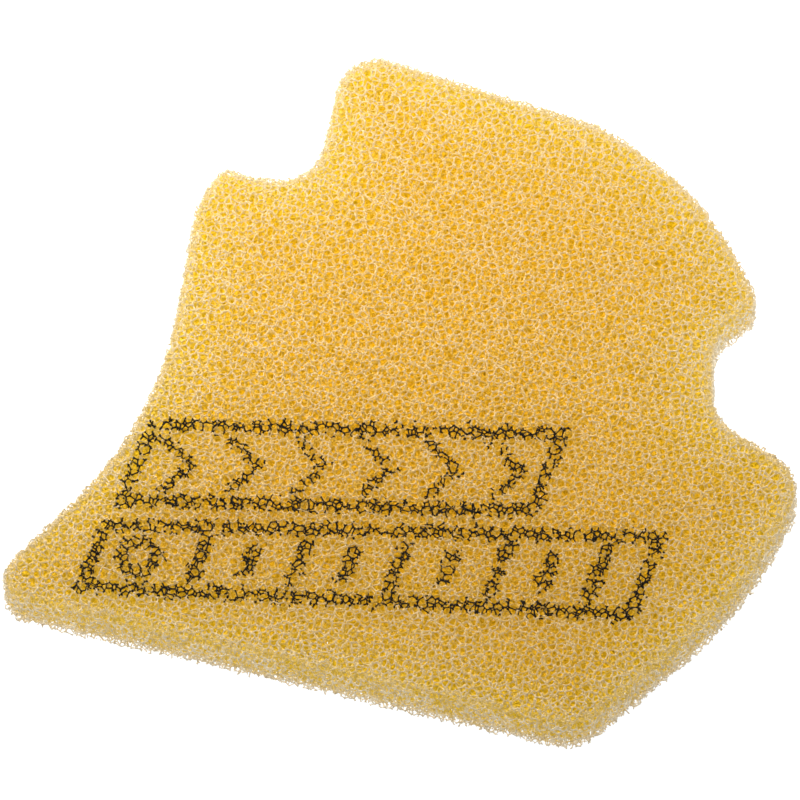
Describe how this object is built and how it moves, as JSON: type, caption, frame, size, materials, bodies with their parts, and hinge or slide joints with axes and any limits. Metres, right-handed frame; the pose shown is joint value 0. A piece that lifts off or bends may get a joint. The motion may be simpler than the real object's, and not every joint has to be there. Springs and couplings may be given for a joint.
{
  "type": "flat foam air filter element",
  "caption": "Flat die-cut pad of coarse open-cell foam with printed marks; filters the intake air in a small motorcycle's airbox.",
  "frame": {"origin": "centre of the bounding box of the pad's flat underside", "axes": "+X along the straight base edge, +Y across the pad towards its top corner, +Z out of the printed face"},
  "size_m": [0.1846, 0.174, 0.0144],
  "materials": {
    "foam": "open-cell polyurethane foam, pale cream struts over deep yellow pores",
    "ink": "matt black printing ink on the outermost struts"
  },
  "bodies": {
    "root": {"foam_pad": "foam", "upper_row_frame": "ink", "upper_row_chevrons": "ink", "lower_row_frame": "ink", "lower_row_hexagon": "ink", "lower_row_bars": "ink"}
  },
  "joints": []
}
